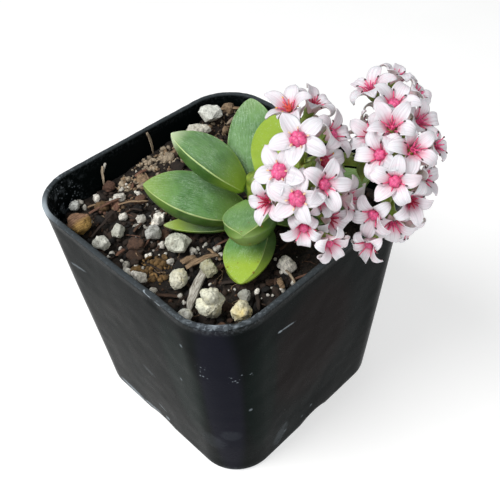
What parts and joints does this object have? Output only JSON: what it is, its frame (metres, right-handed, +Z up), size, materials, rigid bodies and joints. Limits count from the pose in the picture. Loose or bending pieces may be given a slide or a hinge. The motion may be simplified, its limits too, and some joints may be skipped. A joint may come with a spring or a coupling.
{
  "type": "potted crassula",
  "caption": "Flowering succulent with fleshy boat-shaped leaves and two domed heads of small white and pink flowers, in a small square black nursery pot of gritty soil.",
  "frame": {"origin": "centre of the pot's flat underside", "axes": "+Z up; +X and +Y through the middles of two neighbouring pot walls; the flowers lean out over the -Y wall"},
  "size_m": [0.06, 0.0736, 0.0864],
  "materials": {
    "pot_plastic": "satin",
    "soil": "matte",
    "stem_green": "satin",
    "leaf_green": "satin",
    "stalk_green": "satin",
    "petal": "satin",
    "pumice": "matte",
    "bark": "matte"
  },
  "bodies": {
    "root": {"bark_chip_front": "bark", "bark_chip_left": "bark", "bark_chip_right": "bark", "flower_left_01": "petal", "flower_left_02": "petal", "flower_left_03": "petal", "flower_left_04": "petal", "flower_left_05": "petal", "flower_left_06": "petal", "flower_left_07": "petal", "flower_left_08": "petal", "flower_left_09": "petal", "flower_left_10": "petal", "flower_left_11": "petal", "flower_left_12": "petal", "flower_left_13": "petal", "flower_right_01": "petal", "flower_right_02": "petal", "flower_right_03": "petal", "flower_right_04": "petal", "flower_right_05": "petal", "flower_right_06": "petal", "flower_right_07": "petal", "flower_right_08": "petal", "flower_right_09": "petal", "flower_right_10": "petal", "flower_right_11": "petal", "flower_right_12": "petal", "flower_right_13": "petal", "flower_right_14": "petal", "flower_right_15": "petal", "flower_right_16": "petal", "flower_stalk_left": "stalk_green", "flower_stalk_right": "stalk_green", "leaf_back": "leaf_green", "leaf_behind_flowers": "leaf_green", "leaf_front": "leaf_green", "leaf_left": "leaf_green", "leaf_low_front": "leaf_green", "leaf_low_left": "leaf_green", "leaf_low_right": "leaf_green", "leaf_right": "leaf_green", "leaf_upper_left": "leaf_green", "leaf_upper_right": "leaf_green", "pot": "pot_plastic", "soil": "soil", "stem": "stem_green", "stone_back_white": "pumice", "stone_by_rim": "pumice", "stone_cream_angular": "pumice", "stone_cream_round": "pumice", "stone_front_block": "pumice", "stone_front_grey": "pumice", "stone_front_twin": "pumice", "stone_left_corner": "pumice", "stone_left_grey": "pumice", "stone_left_pale": "pumice", "stone_left_rim": "pumice", "stone_sandy": "pumice", "stone_smooth_white": "pumice"}
  },
  "joints": []
}
